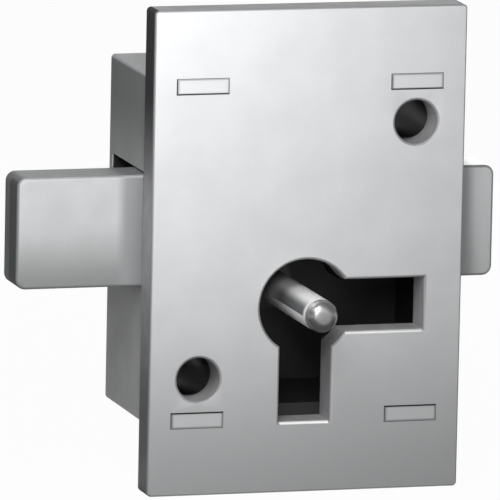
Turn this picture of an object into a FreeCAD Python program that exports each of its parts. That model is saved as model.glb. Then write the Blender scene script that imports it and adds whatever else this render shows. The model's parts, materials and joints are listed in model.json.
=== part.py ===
"""Drawer lock for a hollow key, with a bolt that throws to either side.

The lock is a flat steel front plate with a shallow case staked to its back.
A bolt slides across the case behind the plate, and four levers lie behind the
bolt. X runs along the bolt, Y runs from the front plate into the case, and Z is
up. The origin is the centre of the plate's front face. The lock is drawn with
its bolt thrown to the left (-X). All sizes are in millimetres.
"""
import FreeCAD, Part
import math
import os
from FreeCAD import Vector

# Front plate
PLATE_WIDTH = 33.0
PLATE_HEIGHT = 50.0
PLATE_THICKNESS = 3.5
PLATE_CORNER_RADIUS = 0.45
PLATE_EDGE_RADIUS = 0.2

# Case: a box of sheet steel, open towards the plate
CASE_INSET = 0.3
CASE_HEIGHT = 36.0
CASE_DEPTH = 14.5
CASE_WALL = 1.6
CASE_BACK_RADIUS = 0.6
CASE_CORNER_RADIUS = 0.4

# Tenons of the case, staked flush in slots of the plate
TENON_WIDTH = 5.4
TENON_FROM_SIDE = 5.15
TENON_CLEARANCE = 0.05
TENON_LEFT_END_GAP = 0.13

# Two screw holes on a diagonal, each lined by a sleeve
SCREW_FROM_SIDE = 5.2
SCREW_FROM_TOP = 5.0
SCREW_HOLE_RADIUS = 2.25
SLEEVE_WALL = 0.85

# Keyhole: a round hole with one arm to the right and one down
KEY_Z = -5.8
KEYHOLE_RADIUS = 4.9
KEY_ARM_WIDTH = 5.4
KEY_ARM_RIGHT = 12.5
KEY_ARM_DOWN = 11.9
KEYHOLE_EDGE_RADIUS = 0.3

# Drill pin, which the hollow key slides over
PIN_RADIUS = 1.7
PIN_REACH = 6.5
PIN_NOSE_RADIUS = 1.35
PIN_NOSE_LENGTH = 1.1
PIN_NOSE_ROUNDING = 1.05
PIN_FLANGE_RADIUS = 3.0
PIN_FLANGE_THICKNESS = 0.8

# Bolt
BOLT_HEIGHT = 11.5
BOLT_Z = 1.95
BOLT_THICKNESS = 5.0
BOLT_REACH_LEFT = 13.2
BOLT_REACH_RIGHT = 4.4
BOLT_CORNER_RADIUS = 1.0
BOLT_EDGE_RADIUS = 0.3
BOLT_FACE_PLAY = 0.1
BOLT_SLOT_PLAY = 0.15

# Key bit, which the cut-out of the bolt and the bellies of the levers clear
BARREL_PLAY = 0.2
BIT_REACH_AT_BOLT = 9.6
BIT_REACH_AT_LEVERS = 10.2
BIT_THICKNESS = 5.2
BIT_PLAY = 0.2

# Lug on top of the bolt, and the stump that it carries through the levers
LUG_WIDTH = 7.2
LUG_HEIGHT = 2.8
LUG_CORNER_RADIUS = 0.9
STUMP_RADIUS = 1.25
STUMP_ABOVE_BOLT = 0.5
STUMP_TAIL_RADIUS = 0.9

# Lever pack on its post
LEVER_LIFTS_DEG = (7.5, 6.5, 8.0, 7.0)
LEVER_RIM = 1.8
LEVER_SIDE_PLAY = 0.5
LEVER_BOSS_RADIUS = 2.7
GATE_PLAY = 0.25
WASHER_THICKNESS = 0.3
WASHER_RADIUS = 2.5
REAR_SPACER_LENGTH = 1.05
STACK_PLAY = 0.05
POST_FROM_WALL = 3.0
POST_ABOVE_BOLT = 2.5
POST_RADIUS = 1.5
POST_SHOULDER_RADIUS = 2.0
POST_RUNNING_PLAY = 0.06
LEVER_FRONT_GAP = 0.3
STOP_FROM_WALL = 6.2
STOP_BELOW_BOLT_TOP = 2.8
STOP_RADIUS = 1.1
STOP_PLAY = 0.1
TOE_LENGTH = 0.4
TOE_HEIGHT = 1.9
TOE_INSIDE_CLEARANCE = 1.6

# Leaf springs above the levers, held in a block under the top wall
SPRING_THICKNESS = 0.25
SPRING_PLAY = 0.1
SPRING_TIP_FROM_POST = 8.0
SPRING_BLOCK_PLAY = 0.6
SPRING_BLOCK_WIDTH = 3.4
SPRING_BLOCK_HEIGHT = 1.9
SPRING_SOCKET = 1.2

# Rests that carry the back of the bolt beside each side wall
REST_WIDTH = 1.7
REST_HEIGHT = 9.6
REST_PLAY = 0.1
REST_RIVET_SPACING = 5.6

# Rivet ends on the back of the case
RIVET_RADIUS = 1.2
SMALL_RIVET_RADIUS = 0.8
RIVET_HEAD_OVERLAP = 0.5
RIVET_HEAD_HEIGHT = 0.35

# Places that follow from the sizes above
PLATE_BACK = PLATE_THICKNESS
CASE_BACK = PLATE_THICKNESS + CASE_DEPTH
CASE_FLOOR = CASE_BACK - CASE_WALL
CASE_SIDE = PLATE_WIDTH / 2 - CASE_INSET
CASE_INNER_SIDE = CASE_SIDE - CASE_WALL
CASE_TOP = CASE_HEIGHT / 2
CASE_INNER_TOP = CASE_TOP - CASE_WALL
TENON_X = PLATE_WIDTH / 2 - TENON_FROM_SIDE
TENON_Z = CASE_TOP - CASE_WALL / 2
SCREW_X = PLATE_WIDTH / 2 - SCREW_FROM_SIDE
SCREW_Z = CASE_TOP - SCREW_FROM_TOP
SLEEVE_RADIUS = SCREW_HOLE_RADIUS + SLEEVE_WALL

BOLT_LEFT = -PLATE_WIDTH / 2 - BOLT_REACH_LEFT
BOLT_RIGHT = PLATE_WIDTH / 2 + BOLT_REACH_RIGHT
BOLT_MIDDLE = (BOLT_LEFT + BOLT_RIGHT) / 2
BOLT_THROW = BOLT_REACH_LEFT - BOLT_REACH_RIGHT
BOLT_FRONT = PLATE_BACK + BOLT_FACE_PLAY
BOLT_BACK = BOLT_FRONT + BOLT_THICKNESS
BOLT_TOP = BOLT_Z + BOLT_HEIGHT / 2
BOLT_BOTTOM = BOLT_Z - BOLT_HEIGHT / 2

STUMP_Z = BOLT_TOP + STUMP_ABOVE_BOLT
POST_X = -CASE_INNER_SIDE + POST_FROM_WALL
POST_Z = BOLT_TOP + POST_ABOVE_BOLT
STOP_X = CASE_INNER_SIDE - STOP_FROM_WALL
STOP_Z = BOLT_TOP - STOP_BELOW_BOLT_TOP

LEVER_COUNT = len(LEVER_LIFTS_DEG)
STACK_FRONT = BOLT_BACK + LEVER_FRONT_GAP
STACK_BACK = CASE_FLOOR - REAR_SPACER_LENGTH
LEVER_STEP = (STACK_BACK - STACK_PLAY - STACK_FRONT) / LEVER_COUNT
LEVER_THICKNESS = LEVER_STEP - WASHER_THICKNESS - 2 * STACK_PLAY
STUMP_END = STACK_BACK + LEVER_FRONT_GAP
LEVER_TOP = STUMP_Z + STUMP_RADIUS + GATE_PLAY + LEVER_RIM
LEVER_RIGHT = SCREW_X - SLEEVE_RADIUS - LEVER_SIDE_PLAY

SPRING_BLOCK_RIGHT = SCREW_X - SLEEVE_RADIUS - SPRING_BLOCK_PLAY
SPRING_BLOCK_LEFT = SPRING_BLOCK_RIGHT - SPRING_BLOCK_WIDTH
SPRING_TIP_X = POST_X + SPRING_TIP_FROM_POST
SPRING_TOP = CASE_INNER_TOP - SPRING_BLOCK_HEIGHT / 2 + SPRING_THICKNESS / 2

ALONG_Y = Vector(0, 1, 0)


def box(x0, x1, y0, y1, z0, z1):
    """A block between two corners."""
    return Part.makeBox(x1 - x0, y1 - y0, z1 - z0, Vector(x0, y0, z0))


def rod(radius, x, z, y0, y1):
    """A round bar along Y."""
    return Part.makeCylinder(radius, y1 - y0, Vector(x, y0, z), ALONG_Y)


def edges_along_y(shape):
    """The straight edges of a shape that run along Y."""
    found = []
    for edge in shape.Edges:
        box_of_edge = edge.BoundBox
        if box_of_edge.YLength > max(box_of_edge.XLength, box_of_edge.ZLength, 1e-6) * 100:
            found.append(edge)
    return found


def edges_at_y(shape, y):
    """The edges of a shape that lie flat in the plane of one Y."""
    found = []
    for edge in shape.Edges:
        box_of_edge = edge.BoundBox
        if abs(box_of_edge.YMin - y) < 1e-4 and abs(box_of_edge.YMax - y) < 1e-4:
            found.append(edge)
    return found


def rounded_block(x0, x1, y0, y1, z0, z1, radius):
    """A block whose four edges along Y are rounded."""
    block = box(x0, x1, y0, y1, z0, z1)
    return block.makeFillet(radius, edges_along_y(block))


def prism(points, y0, y1):
    """A plate with a straight-sided outline of (x, z) points."""
    corners = [Vector(x, y0, z) for x, z in points]
    outline = Part.makePolygon(corners + corners[:1])
    return Part.Face(outline).extrude(ALONG_Y * (y1 - y0))


def turned_about_post(shape, degrees):
    """A copy of a shape, lifted about the lever post by an angle."""
    turned = shape.copy()
    turned.rotate(Vector(POST_X, 0, POST_Z), ALONG_Y, -degrees)
    return turned


def point_about_post(x, z, degrees):
    """A point (x, z), lifted about the lever post by an angle."""
    angle = math.radians(degrees)
    dx = x - POST_X
    dz = z - POST_Z
    turned_x = POST_X + dx * math.cos(angle) - dz * math.sin(angle)
    turned_z = POST_Z + dx * math.sin(angle) + dz * math.cos(angle)
    return turned_x, turned_z


def track(points, radius, y0, y1):
    """The room that a round bar sweeps as it moves from point to point."""
    room = rod(radius, points[0][0], points[0][1], y0, y1)
    for (xa, za), (xb, zb) in zip(points, points[1:]):
        length = math.hypot(xb - xa, zb - za)
        side_x = -(zb - za) / length * radius
        side_z = (xb - xa) / length * radius
        corners = [
            (xa + side_x, za + side_z),
            (xb + side_x, zb + side_z),
            (xb - side_x, zb - side_z),
            (xa - side_x, za - side_z),
        ]
        room = room.fuse([prism(corners, y0, y1), rod(radius, xb, zb, y0, y1)])
    return room.removeSplitter()


def rivet_end(radius, x, z):
    """A bar through the back wall, with its end spread to a low head."""
    shank = rod(radius, x, z, CASE_FLOOR, CASE_BACK)
    head = rod(radius + RIVET_HEAD_OVERLAP, x, z, CASE_BACK, CASE_BACK + RIVET_HEAD_HEIGHT)
    head = head.makeFillet(RIVET_HEAD_HEIGHT * 0.8, edges_at_y(head, CASE_BACK + RIVET_HEAD_HEIGHT))
    return shank.fuse(head)


def screw_places():
    """The two screw holes: upper right and lower left."""
    return [(SCREW_X, SCREW_Z), (-SCREW_X, -SCREW_Z)]


def tenon_blocks(left_gap, clearance, y0, y1):
    """The four tenons, or with gaps, the slots that they pass through."""
    blocks = []
    half_width = TENON_WIDTH / 2
    half_height = CASE_WALL / 2 + clearance
    for x in (-TENON_X, TENON_X):
        for z in (-TENON_Z, TENON_Z):
            blocks.append(box(
                x - half_width - left_gap,
                x + half_width + clearance,
                y0,
                y1,
                z - half_height,
                z + half_height,
            ))
    return blocks


def keyhole(y0, y1):
    """The keyhole's room: the round hole and its two arms."""
    half_arm = KEY_ARM_WIDTH / 2
    arm_right = box(0, KEY_ARM_RIGHT, y0, y1, KEY_Z - half_arm, KEY_Z + half_arm)
    arm_down = box(-half_arm, half_arm, y0, y1, KEY_Z - KEY_ARM_DOWN, KEY_Z)
    round_hole = rod(KEYHOLE_RADIUS, 0, KEY_Z, y0, y1)
    return round_hole.fuse([arm_right, arm_down]).removeSplitter()


def front_plate():
    """The face plate with its keyhole, screw holes and tenon slots."""
    half_width = PLATE_WIDTH / 2
    half_height = PLATE_HEIGHT / 2
    plate = rounded_block(
        -half_width, half_width, 0, PLATE_BACK, -half_height, half_height, PLATE_CORNER_RADIUS
    )
    plate = plate.makeFillet(PLATE_EDGE_RADIUS, edges_at_y(plate, 0))
    opening = keyhole(0, PLATE_BACK)
    holes = [rod(SCREW_HOLE_RADIUS, x, z, 0, PLATE_BACK) for x, z in screw_places()]
    plate = plate.cut([opening] + holes)
    rims = []
    for edge in edges_at_y(plate, 0):
        inside_x = max(abs(edge.BoundBox.XMin), abs(edge.BoundBox.XMax)) < half_width - 1
        inside_z = max(abs(edge.BoundBox.ZMin), abs(edge.BoundBox.ZMax)) < half_height - 1
        if inside_x and inside_z:
            rims.append(edge)
    plate = plate.makeFillet(KEYHOLE_EDGE_RADIUS, rims)
    return plate.cut(tenon_blocks(TENON_LEFT_END_GAP, TENON_CLEARANCE, 0, PLATE_BACK))


def bolt_slots():
    """Slots in the side walls, from the plate to the case's floor, that the bolt passes through."""
    return box(
        -CASE_SIDE,
        CASE_SIDE,
        PLATE_BACK,
        CASE_FLOOR,
        BOLT_BOTTOM - BOLT_SLOT_PLAY,
        BOLT_TOP + BOLT_SLOT_PLAY,
    )


def case_shell():
    """The case: a back and four walls, with tenons on the top and bottom walls."""
    shell = rounded_block(
        -CASE_SIDE, CASE_SIDE, PLATE_BACK, CASE_BACK, -CASE_TOP, CASE_TOP, CASE_CORNER_RADIUS
    )
    shell = shell.makeFillet(CASE_BACK_RADIUS, edges_at_y(shell, CASE_BACK))
    hollow = box(
        -CASE_INNER_SIDE, CASE_INNER_SIDE, PLATE_BACK, CASE_FLOOR, -CASE_INNER_TOP, CASE_INNER_TOP
    )
    holes = [rod(SCREW_HOLE_RADIUS, x, z, CASE_FLOOR, CASE_BACK) for x, z in screw_places()]
    holes.append(rod(RIVET_RADIUS, 0, KEY_Z, CASE_FLOOR, CASE_BACK))
    holes.append(rod(RIVET_RADIUS, POST_X, POST_Z, CASE_FLOOR, CASE_BACK))
    holes.append(rod(SMALL_RIVET_RADIUS, STOP_X, STOP_Z, CASE_FLOOR, CASE_BACK))
    for x, z in rest_rivet_places():
        holes.append(rod(SMALL_RIVET_RADIUS, x, z, CASE_FLOOR, CASE_BACK))
    shell = shell.cut([hollow, bolt_slots()] + holes)
    return shell.fuse(tenon_blocks(0, 0, 0, PLATE_BACK)).removeSplitter()


def screw_sleeve(x, z):
    """A spacer tube round one screw hole, between the plate and the case's back."""
    outside = rod(SLEEVE_RADIUS, x, z, PLATE_BACK, CASE_FLOOR)
    return outside.cut(rod(SCREW_HOLE_RADIUS, x, z, PLATE_BACK, CASE_FLOOR))


def drill_pin():
    """The pin for the hollow key: a flange, a long shank and a tapered round nose."""
    nose_base = -PIN_REACH + PIN_NOSE_LENGTH
    tip = Vector(0, -PIN_REACH, KEY_Z)
    shank = rod(PIN_RADIUS, 0, KEY_Z, nose_base, CASE_FLOOR)
    nose = Part.makeCone(PIN_NOSE_RADIUS, PIN_RADIUS, PIN_NOSE_LENGTH, tip, ALONG_Y)
    nose = nose.makeFillet(PIN_NOSE_ROUNDING, edges_at_y(nose, -PIN_REACH))
    flange = rod(PIN_FLANGE_RADIUS, 0, KEY_Z, CASE_FLOOR - PIN_FLANGE_THICKNESS, CASE_FLOOR)
    return shank.fuse([nose, flange, rivet_end(RIVET_RADIUS, 0, KEY_Z)]).removeSplitter()


def bolt_cut_out():
    """The room in the bolt for the key: its barrel, its bit and the talon it pushes in."""
    y0, y1 = BOLT_FRONT, BOLT_BACK
    key_now = 0.0
    key_later = -BOLT_THROW
    barrel = track(
        [(key_later, KEY_Z), (key_now, KEY_Z)], KEYHOLE_RADIUS + BARREL_PLAY, y0, y1
    )
    reach = BIT_REACH_AT_BOLT + BIT_PLAY
    arch = rod(reach, key_now, KEY_Z, y0, y1).common(rod(reach, key_later, KEY_Z, y0, y1))
    arch = arch.common(box(BOLT_LEFT, BOLT_RIGHT, y0, y1, KEY_Z, BOLT_TOP))
    half_talon = BIT_THICKNESS / 2 + BIT_PLAY
    talon = box(
        BOLT_MIDDLE - half_talon, BOLT_MIDDLE + half_talon, y0, y1, KEY_Z, KEY_Z + reach + BIT_PLAY
    )
    return barrel.fuse([arch, talon]).removeSplitter()


def bolt():
    """The bolt: a thick bar with a cut-out for the key and a lug on top."""
    bar = rounded_block(
        BOLT_LEFT, BOLT_RIGHT, BOLT_FRONT, BOLT_BACK, BOLT_BOTTOM, BOLT_TOP, BOLT_CORNER_RADIUS
    )
    rim = edges_at_y(bar, BOLT_FRONT) + edges_at_y(bar, BOLT_BACK)
    bar = bar.makeFillet(BOLT_EDGE_RADIUS, rim)
    lug = rounded_block(
        BOLT_MIDDLE - LUG_WIDTH / 2,
        BOLT_MIDDLE + LUG_WIDTH / 2,
        BOLT_FRONT,
        BOLT_BACK,
        BOLT_Z,
        BOLT_TOP + LUG_HEIGHT,
        LUG_CORNER_RADIUS,
    )
    stump_hole = rod(STUMP_TAIL_RADIUS, BOLT_MIDDLE, STUMP_Z, BOLT_FRONT, BOLT_BACK)
    return bar.fuse(lug).cut([bolt_cut_out(), stump_hole]).removeSplitter()


def bolt_stump():
    """The stud on the back of the bolt that the levers hold, riveted in the lug."""
    tail = rod(STUMP_TAIL_RADIUS, BOLT_MIDDLE, STUMP_Z, BOLT_FRONT, BOLT_BACK)
    stud = rod(STUMP_RADIUS, BOLT_MIDDLE, STUMP_Z, BOLT_BACK, STUMP_END)
    stud = stud.makeChamfer(STUMP_RADIUS * 0.15, edges_at_y(stud, STUMP_END))
    return tail.fuse(stud).removeSplitter()


def lever_y(index):
    """The front face of one lever in the pack."""
    return STACK_FRONT + WASHER_THICKNESS + 2 * STACK_PLAY + index * LEVER_STEP


def lever_gate(lift, y0, y1):
    """The window in a lever: two pockets, and the gate that joins them when it is lifted.

    The stump passes below the bar that hangs between the pockets. The bar is
    also cut back from the path of a lever that lifts evenly as the bolt slides.
    """
    start = (BOLT_MIDDLE, STUMP_Z)
    end = (BOLT_MIDDLE + BOLT_THROW, STUMP_Z)
    lifted_start = point_about_post(start[0], start[1], -lift)
    lifted_end = point_about_post(end[0], end[1], -lift)
    steps = 6
    even_path = []
    for step in range(steps + 1):
        part_way = step / steps
        x = BOLT_MIDDLE + BOLT_THROW * part_way
        even_path.append(point_about_post(x, STUMP_Z, -lift * part_way))
    radius = STUMP_RADIUS + GATE_PLAY
    real_path = track([start, lifted_start, lifted_end, end], radius, y0, y1)
    return real_path.fuse(track(even_path, radius, y0, y1)).removeSplitter()


def lever(index):
    """One lever, at rest on the stop."""
    lift = LEVER_LIFTS_DEG[index]
    y0 = lever_y(index)
    y1 = y0 + LEVER_THICKNESS
    boss = rod(LEVER_BOSS_RADIUS, POST_X, POST_Z, y0, y1)
    stop_top = STOP_Z + STOP_RADIUS + STOP_PLAY
    toe_end = STOP_X + TOE_LENGTH
    tail_end = STOP_X - STOP_RADIUS - TOE_INSIDE_CLEARANCE
    outline = [
        (POST_X, LEVER_TOP),
        (LEVER_RIGHT, LEVER_TOP),
        (LEVER_RIGHT, stop_top + TOE_HEIGHT),
        (toe_end, stop_top + TOE_HEIGHT * 0.8),
        (toe_end, stop_top),
        (tail_end, stop_top),
        (tail_end, KEY_Z + KEYHOLE_RADIUS),
        (POST_X + LEVER_BOSS_RADIUS, KEY_Z + KEYHOLE_RADIUS),
        (POST_X, POST_Z - LEVER_BOSS_RADIUS),
    ]
    blank = boss.fuse(prism(outline, y0, y1))
    belly = turned_about_post(rod(BIT_REACH_AT_LEVERS, 0, KEY_Z, y0, y1), -lift)
    pivot = rod(POST_RADIUS + POST_RUNNING_PLAY, POST_X, POST_Z, y0, y1)
    return blank.cut([belly, pivot, lever_gate(lift, y0, y1)]).removeSplitter()


def lever_post():
    """The post that the levers turn on, with a wide shoulder in front of the pack."""
    shoulder = rod(POST_SHOULDER_RADIUS, POST_X, POST_Z, PLATE_BACK, STACK_FRONT)
    pivot = rod(POST_RADIUS, POST_X, POST_Z, STACK_FRONT, CASE_FLOOR)
    return shoulder.fuse([pivot, rivet_end(RIVET_RADIUS, POST_X, POST_Z)]).removeSplitter()


def washer(y0, y1):
    """A washer on the lever post."""
    ring = rod(WASHER_RADIUS, POST_X, POST_Z, y0, y1)
    return ring.cut(rod(POST_RADIUS + POST_RUNNING_PLAY, POST_X, POST_Z, y0, y1))


def lever_washer(index):
    """The washer in front of one lever."""
    back = lever_y(index) - STACK_PLAY
    return washer(back - WASHER_THICKNESS, back)


def rear_spacer():
    """The longer spacer between the last lever and the case's back."""
    return washer(STACK_BACK, CASE_FLOOR)


def lever_stop():
    """The stud that the levers' toes rest on."""
    stud = rod(STOP_RADIUS, STOP_X, STOP_Z, STACK_FRONT, CASE_FLOOR)
    return stud.fuse(rivet_end(SMALL_RIVET_RADIUS, STOP_X, STOP_Z)).removeSplitter()


def rest_x(side):
    """The middle of one bolt rest, side being -1 for left and 1 for right."""
    return side * (CASE_INNER_SIDE - REST_WIDTH / 2)


def rest_rivet_places():
    """Where the bolt rests are riveted through the case's back."""
    places = []
    for side in (-1, 1):
        for shift in (-REST_RIVET_SPACING / 2, REST_RIVET_SPACING / 2):
            places.append((rest_x(side), BOLT_Z + shift))
    return places


def bolt_rest(side):
    """A bar beside one side wall that carries the back of the bolt."""
    x = rest_x(side)
    bar = box(
        x - REST_WIDTH / 2,
        x + REST_WIDTH / 2,
        BOLT_BACK + REST_PLAY,
        CASE_FLOOR,
        BOLT_Z - REST_HEIGHT / 2,
        BOLT_Z + REST_HEIGHT / 2,
    )
    ends = [rivet_end(SMALL_RIVET_RADIUS, px, pz) for px, pz in rest_rivet_places() if px * side > 0]
    return bar.fuse(ends).removeSplitter()


def arc_points(radius, turn, centre_z, y):
    """Three points of an arc that starts level at the block and curves down to the left."""
    points = []
    for part_way in (0.0, 0.5, 1.0):
        angle = turn * part_way
        x = SPRING_BLOCK_LEFT - radius * math.sin(angle)
        points.append(Vector(x, y, centre_z + radius * math.cos(angle)))
    return points


def lever_spring(index):
    """A leaf that runs from the block down to the top edge of one lever."""
    y = lever_y(index)
    under = SPRING_TOP - SPRING_THICKNESS
    span = SPRING_BLOCK_LEFT - SPRING_TIP_X
    drop = under - LEVER_TOP - SPRING_PLAY
    radius = (span * span + drop * drop) / (2 * drop)
    turn = math.asin(span / radius)
    centre_z = under - radius
    inner = arc_points(radius, turn, centre_z, y)
    outer = arc_points(radius + SPRING_THICKNESS, turn, centre_z, y)
    foot_x = SPRING_BLOCK_LEFT + SPRING_SOCKET
    foot_low = Vector(foot_x, y, under)
    foot_high = Vector(foot_x, y, SPRING_TOP)
    outline = Part.Wire([
        Part.Arc(*inner).toShape(),
        Part.LineSegment(inner[2], outer[2]).toShape(),
        Part.Arc(*reversed(outer)).toShape(),
        Part.LineSegment(outer[0], foot_high).toShape(),
        Part.LineSegment(foot_high, foot_low).toShape(),
        Part.LineSegment(foot_low, inner[0]).toShape(),
    ])
    return Part.Face(outline).extrude(ALONG_Y * LEVER_THICKNESS)


def spring_block():
    """The block under the top wall that clamps the feet of the springs."""
    block = box(
        SPRING_BLOCK_LEFT,
        SPRING_BLOCK_RIGHT,
        STACK_FRONT,
        CASE_FLOOR,
        CASE_INNER_TOP - SPRING_BLOCK_HEIGHT,
        CASE_INNER_TOP,
    )
    sockets = []
    for index in range(LEVER_COUNT):
        y0 = lever_y(index)
        sockets.append(box(
            SPRING_BLOCK_LEFT,
            SPRING_BLOCK_LEFT + SPRING_SOCKET,
            y0,
            y0 + LEVER_THICKNESS,
            SPRING_TOP - SPRING_THICKNESS,
            SPRING_TOP,
        ))
    return block.cut(sockets)


def all_parts():
    """Every piece of the lock, by name."""
    parts = {
        "front_plate": front_plate(),
        "case_shell": case_shell(),
        "drill_pin": drill_pin(),
        "bolt": bolt(),
        "bolt_stump": bolt_stump(),
        "lever_post": lever_post(),
        "lever_stop": lever_stop(),
        "rear_spacer": rear_spacer(),
        "spring_block": spring_block(),
        "bolt_rest_left": bolt_rest(-1),
        "bolt_rest_right": bolt_rest(1),
    }
    for name, (x, z) in zip(("upper", "lower"), screw_places()):
        parts["screw_sleeve_" + name] = screw_sleeve(x, z)
    for index in range(LEVER_COUNT):
        number = str(index + 1)
        parts["lever_" + number] = lever(index)
        parts["lever_washer_" + number] = lever_washer(index)
        parts["lever_spring_" + number] = lever_spring(index)
    return parts


os.makedirs("parts", exist_ok=True)
for name, shape in all_parts().items():
    shape.exportStep("parts/" + name + ".step")
    print(name, "solids", len(shape.Solids), "valid", shape.isValid(), "volume", round(shape.Volume, 2))
print("bolt throw", round(BOLT_THROW, 3), "lever lifts", LEVER_LIFTS_DEG)
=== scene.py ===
"""Drawer lock: the finishes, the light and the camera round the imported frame."""
import json
import math

import bmesh
import bpy
from mathutils import Matrix, Vector

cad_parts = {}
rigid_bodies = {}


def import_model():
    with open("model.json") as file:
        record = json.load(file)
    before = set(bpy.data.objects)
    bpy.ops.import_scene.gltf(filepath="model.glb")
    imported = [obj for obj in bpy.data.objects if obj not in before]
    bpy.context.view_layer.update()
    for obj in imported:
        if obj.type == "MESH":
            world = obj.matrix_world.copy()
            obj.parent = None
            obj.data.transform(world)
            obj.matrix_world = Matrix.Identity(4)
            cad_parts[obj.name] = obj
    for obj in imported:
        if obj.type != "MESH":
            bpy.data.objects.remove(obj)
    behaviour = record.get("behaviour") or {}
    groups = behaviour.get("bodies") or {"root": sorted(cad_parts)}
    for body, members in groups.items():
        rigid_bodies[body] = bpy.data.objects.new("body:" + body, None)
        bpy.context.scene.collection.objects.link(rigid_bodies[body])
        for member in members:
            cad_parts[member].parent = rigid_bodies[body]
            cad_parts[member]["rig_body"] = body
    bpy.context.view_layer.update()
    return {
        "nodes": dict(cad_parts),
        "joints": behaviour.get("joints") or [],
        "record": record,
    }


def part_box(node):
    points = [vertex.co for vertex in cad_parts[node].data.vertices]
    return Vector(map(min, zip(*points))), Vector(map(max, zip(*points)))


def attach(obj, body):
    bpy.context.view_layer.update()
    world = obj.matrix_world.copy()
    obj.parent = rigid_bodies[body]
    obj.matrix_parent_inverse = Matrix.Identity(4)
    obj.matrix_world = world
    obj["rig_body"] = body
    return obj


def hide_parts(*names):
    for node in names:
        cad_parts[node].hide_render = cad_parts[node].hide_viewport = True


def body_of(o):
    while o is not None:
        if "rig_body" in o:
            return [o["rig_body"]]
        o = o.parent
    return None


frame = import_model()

MM = 0.001
NODES = frame["nodes"]
SLOT_OF = {part["node"]: part["material_slot"] for part in frame["record"]["subparts"]}


# Sizes

PLATE_LOW, PLATE_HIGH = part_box("front_plate")
CASE_LOW, CASE_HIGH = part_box("case_shell")
BOLT_LOW, BOLT_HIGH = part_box("bolt")
PIN_LOW, PIN_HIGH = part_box("drill_pin")
FLOOR_Z = PLATE_LOW.z
CASE_WALL = 1.6 * MM
CASE_FLOOR_Y = CASE_HIGH.y - CASE_WALL
TENON_WIDTH = 5.4 * MM
TENON_FROM_SIDE = 5.15 * MM
TENON_X = PLATE_HIGH.x - TENON_FROM_SIDE
TENON_Z = CASE_HIGH.z - CASE_WALL / 2
KEY_Z = (PIN_LOW.z + PIN_HIGH.z) / 2
KEY_ARM_WIDTH = 5.4 * MM
KEY_ARM_DOWN = 11.9 * MM
BOLT_MIDDLE = (BOLT_LOW.x + BOLT_HIGH.x) / 2
BOLT_THROW = next(joint["range_m"][1] for joint in frame["joints"] if joint["name"] == "bolt_slide")


# Where the finishes change, and by how much

# A name that ends in X, Y or Z gives places along that axis
SOFT_EDGE = 0.05 * MM
SKIN_DEPTH = (0.001 * MM, 0.01 * MM)
PLATE_SHADE_Z = (PLATE_LOW.z, -4.0 * MM)
PLATE_OUTER_X = PLATE_HIGH.x - 0.5 * MM
PLATE_SIDE_SHADE_HIGH_Z = (3.0 * MM, 17.0 * MM)
PLATE_SIDE_SHADE_LOW_Z = (-17.0 * MM, -5.0 * MM)
PLATE_SIDE_SHADE_LOW_AMOUNT = 0.6
PLATE_RIM_Y = (0.3 * MM, 0.6 * MM)
LIP_Y = (0.25 * MM, 0.4 * MM)
LIP_HEIGHT = 0.35 * MM
LIP_DOWN_END_X = KEY_ARM_WIDTH / 2 - 0.1 * MM
# The lower side of the keyhole's right arm, from the round hole to its end
LIP_RIGHT_X = (4.2 * MM, 12.4 * MM)
LIP_RIGHT_AMOUNT = 0.6
BOLT_SHADE_Z = (BOLT_LOW.z, BOLT_LOW.z + 7.0 * MM)
BOLT_LIT_TAIL_X = (PLATE_HIGH.x + 1.0 * MM, PLATE_HIGH.x + 3.5 * MM)
BOLT_LIT_TAIL_AMOUNT = 0.8
BOLT_SAWN_FROM_MIDDLE = BOLT_HIGH.x - BOLT_MIDDLE - 0.2 * MM
BOLT_SAWN_Y = (BOLT_LOW.y + 2.7 * MM, BOLT_LOW.y + 3.2 * MM)
BOLT_ROLLED_Y = (BOLT_LOW.y + 0.2 * MM, BOLT_LOW.y + 0.35 * MM)
BOLT_ROLLED_AMOUNT = 0.8
BOLT_WORN_AND_SHADED_LEFT_X = (PLATE_LOW.x - 2.9 * MM, PLATE_LOW.x - 1.6 * MM)
BOLT_WORN_AND_SHADED_RIGHT_X = (PLATE_HIGH.x + 1.3 * MM, PLATE_HIGH.x + 2.6 * MM)
BOLT_INSIDE_SHADE_LEFT_X = (CASE_LOW.x + 0.6 * MM, CASE_LOW.x + 2.5 * MM)
# The painted shade ends where the case still hides it once the bolt has slid to the right
INSIDE_SHADE_END_X = CASE_HIGH.x - BOLT_THROW - 0.5 * MM
BOLT_INSIDE_SHADE_RIGHT_X = (INSIDE_SHADE_END_X - 1.5 * MM, INSIDE_SHADE_END_X)
CASE_SIDE_SHADE_Z = (4.0 * MM, 15.0 * MM)
CASE_BRIGHT_TOP_Z = (CASE_HIGH.z - 0.5 * MM, CASE_HIGH.z - 0.1 * MM)
CASE_INSIDE_X = CASE_HIGH.x - 0.1 * MM
CASE_INSIDE_Z = CASE_HIGH.z - CASE_WALL + 0.1 * MM
CASE_INSIDE_Y = (CASE_FLOOR_Y + 0.05 * MM, CASE_FLOOR_Y + 0.15 * MM)
TENON_RIM = 0.15 * MM
TENON_SOFT_EDGE = 0.1 * MM
TENON_DARK_FRONT_Y = (0.6 * MM, 0.8 * MM)
TENON_DARK_BACK_Y = (PLATE_HIGH.y + 0.05 * MM, PLATE_HIGH.y + 0.15 * MM)
PIN_NOSE_Y = (PIN_LOW.y + 1.0 * MM, PIN_LOW.y + 1.5 * MM)
PIN_FLANGE_Y = (14.0 * MM, 15.0 * MM)
PIN_DARK_REFLECTION_FRONT_Y = (PIN_LOW.y + 1.6 * MM, PIN_LOW.y + 2.4 * MM)
PIN_DARK_REFLECTION_THINS_Y = (3.0 * MM, 8.0 * MM)
PIN_DARK_REFLECTION_AMOUNTS = (0.9, 0.2)
# The painted dark reflection's lower and upper end, as angles up from the pin's left side
PIN_DARK_REFLECTION_LOWER_END = (math.radians(-4), math.radians(-1))
PIN_DARK_REFLECTION_UPPER_END = (math.radians(22), math.radians(62))


# Material nodes

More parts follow.
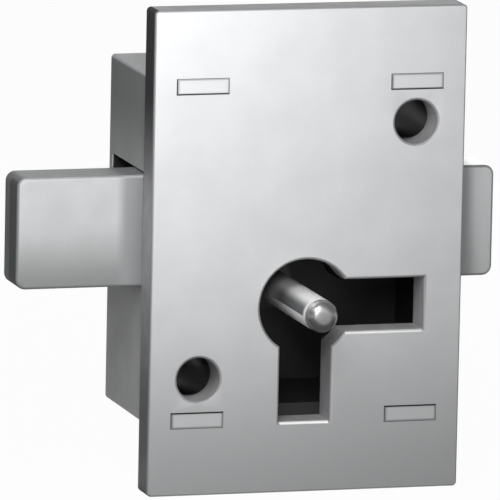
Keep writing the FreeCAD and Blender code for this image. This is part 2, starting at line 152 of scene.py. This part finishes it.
# Most of a noise lies between these values
NOISE_LOW, NOISE_HIGH = 0.3, 0.7
UNEVEN_SIZE_MM = 3.0
UNEVEN_CHANGE = 0.012
GRAIN_STRENGTH = 0.25
GRAIN_DEPTH = 0.01 * MM
EVEN = (1.0, 1.0, 1.0)
# Grain drawn out round the Y axis, as a lathe leaves it
RINGS = (0.1, 1.0, 0.1)
# How metallic and how rough each kind of surface is
SATIN = (0.7, 0.42)
WALL = (0.4, 0.6)
SHEET = (0.2, 0.5)
PIN_METALLIC, NOSE_METALLIC = 0.1, 1.0
PIN_ROUGH = 0.34
# The near black of the painted shade inside the case
PAINTED_SHADE_DARK = "#1E1E1F"
RIM_GREY = "#A0A0A2"
DULL_EDGE_AND_SHADE_GREY = "#8E8F90"


def linear(colour):
    """A colour written as sRGB hex, as the linear numbers that a socket takes."""
    levels = [int(colour[place:place + 2], 16) / 255 for place in (1, 3, 5)]
    return tuple(
        level / 12.92 if level <= 0.04045 else ((level + 0.055) / 1.055) ** 2.4 for level in levels
    ) + (1.0,)


def add(tree, kind, links=None, **settings):
    """A new node with its settings, and with each socket given a value or the output to link."""
    node = tree.nodes.new(kind)
    for name, value in settings.items():
        setattr(node, name, value)
    for socket, value in (links or {}).items():
        if isinstance(value, bpy.types.NodeSocket):
            tree.links.new(value, node.inputs[socket])
        else:
            node.inputs[socket].default_value = value
    return node


def new_material(name):
    """An empty material and its node tree."""
    material = bpy.data.materials.new(name)
    material.use_nodes = True
    material.node_tree.nodes.clear()
    return material, material.node_tree


def ramp(tree, value, start, end, low=0.0, high=1.0):
    """A value that goes from low to high as the input goes from start to end."""
    return add(
        tree, "ShaderNodeMapRange",
        {"Value": value, "From Min": start, "From Max": end, "To Min": low, "To Max": high},
        interpolation_type="SMOOTHSTEP",
    ).outputs["Result"]


def fall(tree, value, start, end):
    """1 up to the start, and 0 from the end on."""
    return ramp(tree, value, start, end, 1.0, 0.0)


def maths(tree, operation, first, second=0.0):
    """One sum."""
    return add(tree, "ShaderNodeMath", {0: first, 1: second}, operation=operation).outputs[0]


def both(tree, first, second):
    """Where two masks overlap."""
    return maths(tree, "MULTIPLY", first, second)


def span(tree, value, rise, drop):
    """1 between two places. It rises from 0 over the first pair and drops to 0 over the second."""
    return both(tree, ramp(tree, value, *rise), fall(tree, value, *drop))


def within(tree, axis, limit, soft=SOFT_EDGE):
    """1 where an axis is nearer to the middle than a limit, with a soft edge."""
    return fall(tree, maths(tree, "ABSOLUTE", axis), limit - soft, limit + soft)


def beyond(tree, axis, limit):
    """1 where an axis is farther from the middle than a limit."""
    return maths(tree, "SUBTRACT", 1.0, within(tree, axis, limit))


def behind(tree, axes, face_y):
    """0 on a flat front face, and 1 on each edge and wall behind it."""
    return ramp(tree, axes["Y"], *(face_y + depth for depth in SKIN_DEPTH))


def blend(tree, amount, first, second):
    """One colour turning into another."""
    node = add(tree, "ShaderNodeMix", {0: amount, 6: first, 7: second}, data_type="RGBA")
    return node.outputs[2]


def paint(tree, mask, under, colour):
    """A colour, written as hex, laid over another one where the mask is."""
    return blend(tree, mask, under, linear(colour))


def noise(tree, place, size_mm, stretch=EVEN, detail=2.0):
    """Spots of a real size, drawn out along an axis where its stretch is under 1."""
    drawn = add(tree, "ShaderNodeMapping", {"Vector": place, "Scale": stretch}).outputs[0]
    spots = {"Vector": drawn, "Scale": 1.0 / (size_mm * MM), "Detail": detail}
    return add(tree, "ShaderNodeTexNoise", spots).outputs["Fac"]


def cloudy(tree, place, dark, light, size_mm):
    """A plating a little lighter in some places than in others."""
    clouds = noise(tree, place, size_mm, detail=4.0)
    return paint(tree, ramp(tree, clouds, NOISE_LOW, NOISE_HIGH), linear(dark), light)


def uneven(tree, place, rough):
    """A roughness a little higher in some places than in others."""
    spots = noise(tree, place, UNEVEN_SIZE_MM)
    return ramp(tree, spots, NOISE_LOW, NOISE_HIGH, rough - UNEVEN_CHANGE, rough + UNEVEN_CHANGE)


def gloss(tree, mask, outside, inside):
    """The metallic and rough sockets of a finish, with another kind of surface in the mask."""
    return {
        "Metallic": ramp(tree, mask, 0.0, 1.0, outside[0], inside[0]),
        "Roughness": ramp(tree, mask, 0.0, 1.0, outside[1], inside[1]),
    }


def metal(name, painted, grain_mm, stretch=EVEN):
    """A metal painted by place, with the grain that its making left."""
    material, tree = new_material(name)
    place = add(tree, "ShaderNodeTexCoord").outputs["Object"]
    axes = add(tree, "ShaderNodeSeparateXYZ", {0: place}).outputs
    height = noise(tree, place, grain_mm, stretch)
    grain = {"Strength": GRAIN_STRENGTH, "Distance": GRAIN_DEPTH, "Height": height}
    sockets = painted(tree, place, axes)
    sockets["Normal"] = add(tree, "ShaderNodeBump", grain).outputs[0]
    shader = add(tree, "ShaderNodeBsdfPrincipled", sockets)
    add(tree, "ShaderNodeOutputMaterial", {"Surface": shader.outputs[0]})
    return material


def painted_lip_highlight(tree, axes, start, end, level):
    """Where a lower lip of the keyhole has a painted highlight."""
    across = maths(tree, "SUBTRACT", axes["X"], (start + end) / 2)
    up = maths(tree, "SUBTRACT", axes["Z"], level)
    return both(tree, within(tree, across, (end - start) / 2), within(tree, up, LIP_HEIGHT))


def plate_finish(tree, place, axes):
    """The face is ground and satin plated, with painted shade low down. The rims and the walls are
    duller still, the outer walls have painted shade high up and low down, and two lower lips of the
    keyhole have a painted highlight."""
    face = cloudy(tree, place, "#D0D1D2", "#D6D7D8", size_mm=5.0)
    # Painted shade: the face is painted darker low down, where the light falls off
    face = paint(tree, fall(tree, axes["Z"], *PLATE_SHADE_Z), face, "#BEBFC0")
    wall = cloudy(tree, place, "#A8A8AA", "#B4B4B6", size_mm=1.5)
    # Painted shade: the outer walls are painted dark high up and low down, where little light
    # reaches them
    high = ramp(tree, axes["Z"], *PLATE_SIDE_SHADE_HIGH_Z)
    low = ramp(tree, axes["Z"], *PLATE_SIDE_SHADE_LOW_Z, PLATE_SIDE_SHADE_LOW_AMOUNT, 0.0)
    painted_shade = both(tree, beyond(tree, axes["X"], PLATE_OUTER_X), maths(tree, "MAXIMUM", high, low))
    wall = paint(tree, painted_shade, wall, "#444446")
    edge = blend(tree, ramp(tree, axes["Y"], *PLATE_RIM_Y), linear(RIM_GREY), wall)
    lip_down = painted_lip_highlight(tree, axes, -LIP_DOWN_END_X, LIP_DOWN_END_X, KEY_Z - KEY_ARM_DOWN)
    lip_right = painted_lip_highlight(tree, axes, *LIP_RIGHT_X, KEY_Z - KEY_ARM_WIDTH / 2)
    lips = maths(tree, "MAXIMUM", lip_down, both(tree, lip_right, LIP_RIGHT_AMOUNT))
    # Painted highlight: the lower lips of the keyhole are painted near white, where light glints on
    # their rounded edge
    edge = paint(tree, both(tree, lips, fall(tree, axes["Y"], *LIP_Y)), edge, "#F8F8F8")
    is_edge = behind(tree, axes, PLATE_LOW.y)
    return {"Base Color": blend(tree, is_edge, face, edge), **gloss(tree, is_edge, SATIN, WALL)}


def bolt_finish(tree, place, axes):
    """Bar steel, satin plated, with painted shade low down, duller along its rolled edges, and a
    painted highlight at its tail.
    Its ends are sawn. It is worn dull where it slides, with painted shade next to the plate and
    near black painted shade in the middle."""
    face = cloudy(tree, place, "#BCBDBE", "#C4C5C6", size_mm=4.0)
    # Painted shade: the face is painted darker low down
    face = paint(tree, fall(tree, axes["Z"], *BOLT_SHADE_Z), face, "#8E9090")
    # Painted highlight: the tail is painted paler toward its end, where the light reaches past the
    # plate
    pale = ramp(tree, axes["X"], *BOLT_LIT_TAIL_X, 0.0, BOLT_LIT_TAIL_AMOUNT)
    face = paint(tree, pale, face, "#D4D5D6")
    from_middle = maths(tree, "SUBTRACT", axes["X"], BOLT_MIDDLE)
    end = beyond(tree, from_middle, BOLT_SAWN_FROM_MIDDLE)
    sawn = paint(tree, ramp(tree, axes["Y"], *BOLT_SAWN_Y), linear("#9FA0A2"), "#C4C5C6")
    rolled = both(tree, behind(tree, axes, BOLT_LOW.y), fall(tree, axes["Y"], *BOLT_ROLLED_Y))
    # Partly wear where the bolt slides, partly painted shade: the bolt is painted darker next to
    # the plate, where the plate shades it
    worn_and_shaded = span(tree, axes["X"], BOLT_WORN_AND_SHADED_LEFT_X, BOLT_WORN_AND_SHADED_RIGHT_X)
    # Painted shade: the middle of the bolt, inside the case, is painted near black
    inside_shade = span(tree, axes["X"], BOLT_INSIDE_SHADE_LEFT_X, BOLT_INSIDE_SHADE_RIGHT_X)
    colour = blend(tree, end, face, sawn)
    colour = paint(tree, both(tree, rolled, BOLT_ROLLED_AMOUNT), colour, DULL_EDGE_AND_SHADE_GREY)
    colour = paint(tree, worn_and_shaded, colour, "#9A9B9C")
    colour = paint(tree, inside_shade, colour, "#262627")
    return {"Base Color": colour, **gloss(tree, rolled, SATIN, WALL)}


def case_finish(tree, place, axes):
    """Sheet steel, dull plated, with painted shade high up on its sides. Its tenons are ground,
    with worn rims. Its inside, and the tenons' sides where they sit in the plate, are painted near
    black as shade."""
    sheet = cloudy(tree, place, "#C0C1C2", "#C8C9CA", size_mm=4.0)
    # Painted shade: the sides are painted darker high up, below the top face
    painted_shade = span(tree, axes["Z"], CASE_SIDE_SHADE_Z, CASE_BRIGHT_TOP_Z)
    sheet = paint(tree, painted_shade, sheet, DULL_EDGE_AND_SHADE_GREY)
    across = maths(tree, "SUBTRACT", maths(tree, "ABSOLUTE", axes["X"]), TENON_X)
    down = maths(tree, "SUBTRACT", maths(tree, "ABSOLUTE", axes["Z"]), TENON_Z)
    ground = both(
        tree,
        within(tree, across, TENON_WIDTH / 2 - TENON_RIM, TENON_SOFT_EDGE),
        within(tree, down, CASE_WALL / 2 - TENON_RIM, TENON_SOFT_EDGE),
    )
    tenon = paint(tree, ground, linear(RIM_GREY), "#D3D4D5")
    formed = behind(tree, axes, CASE_LOW.y)
    colour = blend(tree, formed, tenon, sheet)
    # Painted shade: the inside of the case is painted near black
    inside = both(
        tree,
        both(tree, within(tree, axes["X"], CASE_INSIDE_X), within(tree, axes["Z"], CASE_INSIDE_Z)),
        fall(tree, axes["Y"], *CASE_INSIDE_Y),
    )
    # Painted shade: the case is painted near black where it sits in the plate and where its front
    # rim shows through the keyhole
    joint_shade = span(tree, axes["Y"], TENON_DARK_FRONT_Y, TENON_DARK_BACK_Y)
    colour = paint(tree, maths(tree, "MAXIMUM", inside, joint_shade), colour, PAINTED_SHADE_DARK)
    return {"Base Color": colour, **gloss(tree, formed, SATIN, SHEET)}


def pin_finish(tree, place, axes):
    """Bright turned steel, with a dull nose, a painted dark reflection along its left side that
    thins toward the case, and a flange painted near black as shade."""
    bright = cloudy(tree, place, "#EEEEED", "#F6F6F5", size_mm=1.5)
    above = maths(tree, "SUBTRACT", axes["Z"], KEY_Z)
    turn = maths(tree, "ARCTAN2", above, maths(tree, "MULTIPLY", axes["X"], -1.0))
    # Painted reflection: a dark band along the pin's left side, where polished steel would mirror
    # the dark inside of the lock
    dark_reflection = span(tree, turn, PIN_DARK_REFLECTION_LOWER_END, PIN_DARK_REFLECTION_UPPER_END)
    dark_reflection = both(tree, dark_reflection, ramp(tree, axes["Y"], *PIN_DARK_REFLECTION_FRONT_Y))
    dark_reflection = both(tree, dark_reflection, ramp(tree, axes["Y"], *PIN_DARK_REFLECTION_THINS_Y, *PIN_DARK_REFLECTION_AMOUNTS))
    nose = fall(tree, axes["Y"], *PIN_NOSE_Y)
    colour = paint(tree, dark_reflection, bright, "#4C5052")
    # Painted shade: the flange, deep inside the case, is painted near black
    colour = paint(tree, ramp(tree, axes["Y"], *PIN_FLANGE_Y), colour, PAINTED_SHADE_DARK)
    return {
        "Base Color": paint(tree, nose, colour, "#A0A0A0"),
        "Metallic": ramp(tree, nose, 0.0, 1.0, PIN_METALLIC, NOSE_METALLIC),
        "Roughness": uneven(tree, place, PIN_ROUGH),
    }


def hidden(dark, light, metallic, rough):
    """The finish of a turned or stamped piece inside the case, a little uneven, in colours painted
    dark as shade.
    """
    return lambda tree, place, axes: {
        "Base Color": cloudy(tree, place, dark, light, size_mm=1.5),
        "Metallic": metallic,
        "Roughness": uneven(tree, place, rough),
    }


# Painted shade: the pieces inside the case are painted dark, the steel near black and the brass and
# bronze dark brown
SHADE_DARK_STEEL = hidden(PAINTED_SHADE_DARK, "#29292A", metallic=0.8, rough=0.4)
SHADE_DARK_BRASS = hidden("#463921", "#5C4B2C", metallic=0.9, rough=0.38)
SHADE_DARK_BRONZE = hidden("#4A3826", "#5E4832", metallic=0.9, rough=0.35)
MATERIALS = {
    "plate_steel": metal("satin_plated_steel_plate", plate_finish, grain_mm=0.25),
    "case_steel": metal("dull_plated_steel_sheet", case_finish, grain_mm=0.3),
    "bolt_steel": metal("satin_plated_steel_bar", bolt_finish, grain_mm=0.25),
    "pin_steel": metal("turned_steel_pin", pin_finish, grain_mm=0.2, stretch=RINGS),
    "turned_steel": metal("shade_darkened_turned_steel", SHADE_DARK_STEEL, grain_mm=0.2, stretch=RINGS),
    "lever_brass": metal("shade_darkened_stamped_brass", SHADE_DARK_BRASS, grain_mm=0.3),
    "spring_bronze": metal("shade_darkened_rolled_bronze", SHADE_DARK_BRONZE, grain_mm=0.3),
}


# Pieces

JOINED_WITHIN = 0.001 * MM
SHARP_ANGLE = math.radians(30)


def as_object(work, name, material):
    """An object in the scene, made of a work mesh in one material."""
    mesh = bpy.data.meshes.new(name)
    work.to_mesh(mesh)
    work.free()
    mesh.materials.append(material)
    thing = bpy.data.objects.new(name, mesh)
    bpy.context.scene.collection.objects.link(thing)
    return thing


def smoothed(name):
    """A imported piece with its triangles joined, so that round faces shade as round."""
    work = bmesh.new()
    work.from_mesh(NODES[name].data)
    bmesh.ops.remove_doubles(work, verts=work.verts, dist=JOINED_WITHIN)
    for face in work.faces:
        face.smooth = True
    for edge in work.edges:
        edge.smooth = edge.calc_face_angle(math.pi) < SHARP_ANGLE
    piece = as_object(work, name + "_finished", MATERIALS[SLOT_OF[name]])
    keep_flat = piece.modifiers.new("keep_flat", "WEIGHTED_NORMAL")
    keep_flat.weight = 100
    keep_flat.keep_sharp = True
    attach(piece, body_of(NODES[name])[0])
    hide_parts(name)


for node_name in SLOT_OF:
    smoothed(node_name)


# Floor, lamps and flags

BACKDROP_RADIUS = 2.0
BACKDROP_HEIGHT = 0.2
BACKDROP_SIDES = 128
BACKDROP_WHITE = 0.97
FLOOR_GAP = 0.02 * MM
WHITE = (1.0, 1.0, 1.0, 1.0)


def pale_backdrop():
    """A pale floor under the lock that turns up into a low wall all round, far off."""
    work = bmesh.new()
    bmesh.ops.create_circle(work, cap_ends=True, radius=BACKDROP_RADIUS, segments=BACKDROP_SIDES)
    bmesh.ops.translate(work, verts=work.verts, vec=(0, 0, FLOOR_Z - FLOOR_GAP))
    rim = [edge for edge in work.edges if edge.is_boundary]
    wall = bmesh.ops.extrude_edge_only(work, edges=rim)["geom"]
    corners = [part for part in wall if isinstance(part, bmesh.types.BMVert)]
    bmesh.ops.translate(work, verts=corners, vec=(0, 0, BACKDROP_HEIGHT))
    material, tree = new_material("pale_paper")
    path = add(tree, "ShaderNodeLightPath").outputs
    seen = maths(tree, "MAXIMUM", path["Is Camera Ray"], path["Is Glossy Ray"])
    seen = maths(tree, "MAXIMUM", seen, path["Is Transmission Ray"])
    plain = add(tree, "ShaderNodeBsdfDiffuse", {"Color": linear("#B0B0B0")}).outputs[0]
    white = add(tree, "ShaderNodeEmission", {"Color": WHITE, "Strength": 1.0}).outputs[0]
    share = maths(tree, "MULTIPLY", seen, BACKDROP_WHITE)
    shown = add(tree, "ShaderNodeMixShader", {0: share, 1: plain, 2: white}).outputs[0]
    add(tree, "ShaderNodeOutputMaterial", {"Surface": shown})
    backdrop = as_object(work, "backdrop", material)


def plain_room(grey):
    """A plain grey room above the backdrop."""
    world = bpy.data.worlds.new("room")
    bpy.context.scene.world = world
    world.use_nodes = True
    world.node_tree.nodes.clear()
    room = add(world.node_tree, "ShaderNodeBackground", {"Color": WHITE, "Strength": grey})
    add(world.node_tree, "ShaderNodeOutputWorld", {"Surface": room.outputs[0]})


def facing(place, aim):
    """Something's place and turn, with its back (+Z) away from its aim. Both are given in mm."""
    place, aim = Vector(place) * MM, Vector(aim) * MM
    turn = (aim - place).to_track_quat("-Z", "Y")
    return Matrix.LocRotScale(place, turn, None)


def softbox(name, place, aim, width, height, brightness):
    """A square lamp: its brightness is what its face shows, where 1 is white."""
    lamp = bpy.data.lights.new(name, "AREA")
    lamp.shape = "RECTANGLE"
    lamp.size = width * MM
    lamp.size_y = height * MM
    lamp.energy = brightness * math.pi * lamp.size * lamp.size_y
    thing = bpy.data.objects.new(name, lamp)
    thing.matrix_world = facing(place, aim)
    thing.visible_camera = False
    bpy.context.scene.collection.objects.link(thing)
    return thing


def flag(name, place, aim, width, height, grey):
    """A dark card beside the lock, which shows only in the metal."""
    work = bmesh.new()
    bmesh.ops.create_grid(work, x_segments=1, y_segments=1, size=0.5)
    bmesh.ops.scale(work, verts=work.verts, vec=(width * MM, height * MM, 1))
    bmesh.ops.transform(work, verts=work.verts, matrix=facing(place, aim))
    material, tree = new_material(name)
    shown = add(tree, "ShaderNodeEmission", {"Color": WHITE, "Strength": grey})
    add(tree, "ShaderNodeOutputMaterial", {"Surface": shown.outputs[0]})
    thing = as_object(work, name, material)
    for kind in ("camera", "diffuse", "transmission", "shadow", "volume_scatter"):
        setattr(thing, "visible_" + kind, False)


pale_backdrop()
plain_room(grey=0.3)
# Each lamp and flag has its place, aim, width and height in mm, and its brightness or grey
softbox("key", (-54, -162, 58), (0, 0, -3), 36, 36, 27.0)
softbox("near", (-28, -42, 45), (-14, 0, 16), 30, 30, 9.5)
softbox("graze", (-70, -16, 60), (0, -4, -4), 30, 30, 2.0)
softbox("back", (110, 150, 10), (0, 10, 0), 120, 120, 4.0)
card = softbox("card", (-5, -80, 20), (-5, 0, 20), 80, 90, 0.9)
card.visible_diffuse = False
flag("flag_floor_front", (25, -107, -24.9), (25, -107, -100), 350, 225, 0.16)
flag("flag_floor_left", (-135, 125, -24.9), (-135, 125, -100), 230, 250, 0.1)
flag("flag_back_left", (-70, 90, 40), (-16, 0, 40), 120, 140, 0.02)


# Camera

YAW = math.radians(16.5)
PITCH = math.radians(10.0)
ROLL = math.radians(1.175)
CAMERA_DISTANCE = 1000 * MM
PIXELS_PER_MM = 9.769
PICTURE_SIDE = 500
SENSOR_WIDTH_MM = 36
# How far right of and below the picture's middle the aimed point lies, in pixels
AIM_RIGHT, AIM_DOWN = 40.83, -9.28
AIM = Vector((0, 6 * MM, 0))


def photo_camera():
    """A long lens at the photograph's angle, with no shift."""
    level = Vector((math.cos(YAW), -math.sin(YAW), 0))
    ahead = Vector(
        (math.sin(YAW) * math.cos(PITCH), math.cos(YAW) * math.cos(PITCH), -math.sin(PITCH))
    )
    upright = level.cross(ahead)
    right = math.cos(ROLL) * level + math.sin(ROLL) * upright
    up = math.cos(ROLL) * upright - math.sin(ROLL) * level
    pixel = MM / PIXELS_PER_MM
    place = AIM - right * AIM_RIGHT * pixel + up * AIM_DOWN * pixel - ahead * CAMERA_DISTANCE
    lens = bpy.data.cameras.new("camera")
    lens.sensor_width = SENSOR_WIDTH_MM
    lens.lens = PIXELS_PER_MM / MM * CAMERA_DISTANCE * SENSOR_WIDTH_MM / PICTURE_SIDE
    lens.clip_start, lens.clip_end = 0.05, 20
    camera = bpy.data.objects.new("camera", lens)
    camera.matrix_world = Matrix((
        (right.x, up.x, -ahead.x, place.x),
        (right.y, up.y, -ahead.y, place.y),
        (right.z, up.z, -ahead.z, place.z),
        (0, 0, 0, 1),
    ))
    bpy.context.scene.collection.objects.link(camera)
    bpy.context.scene.camera = camera


photo_camera()
bpy.context.scene.view_settings.view_transform = "Standard"
